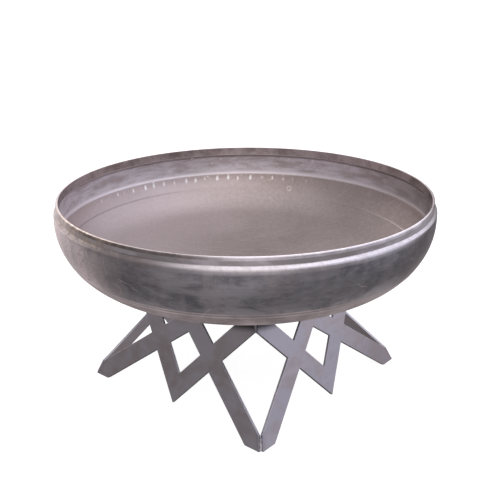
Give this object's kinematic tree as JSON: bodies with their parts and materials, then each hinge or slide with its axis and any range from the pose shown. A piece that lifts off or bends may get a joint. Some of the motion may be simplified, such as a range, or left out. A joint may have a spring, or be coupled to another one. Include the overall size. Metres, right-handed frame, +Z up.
{
  "type": "fire pit",
  "caption": "Round pressed steel fire bowl resting on a square base of leaning, lattice-cut steel plates.",
  "frame": {"origin": "middle of the square base on the floor, under the bowl's axis", "axes": "+Z up along the bowl's axis; X and Y square to the sides of the base, with -Y the front plate"},
  "size_m": [0.9143, 0.9144, 0.48],
  "materials": {
    "bowl_steel": "raw pressed mill-finish steel with polished rim and shoulder",
    "base_steel": "raw mill-finish plate, satin",
    "weld_steel": "weld bead, rippled, as laid"
  },
  "bodies": {
    "base": {"base_plate_front": "base_steel", "base_plate_right": "base_steel", "base_plate_back": "base_steel", "base_plate_left": "base_steel", "foot_weld_front_right": "weld_steel", "foot_weld_back_right": "weld_steel", "foot_weld_back_left": "weld_steel", "foot_weld_front_left": "weld_steel", "top_weld_front_right": "weld_steel", "top_weld_back_right": "weld_steel", "top_weld_back_left": "weld_steel", "top_weld_front_left": "weld_steel"},
    "bowl": {"bowl": "bowl_steel"}
  },
  "joints": [
    {"name": "bowl_lift", "type": "slide", "parent": "base", "child": "bowl", "axis": [0, 0, 1], "range_m": [0, 0.3]}
  ]
}
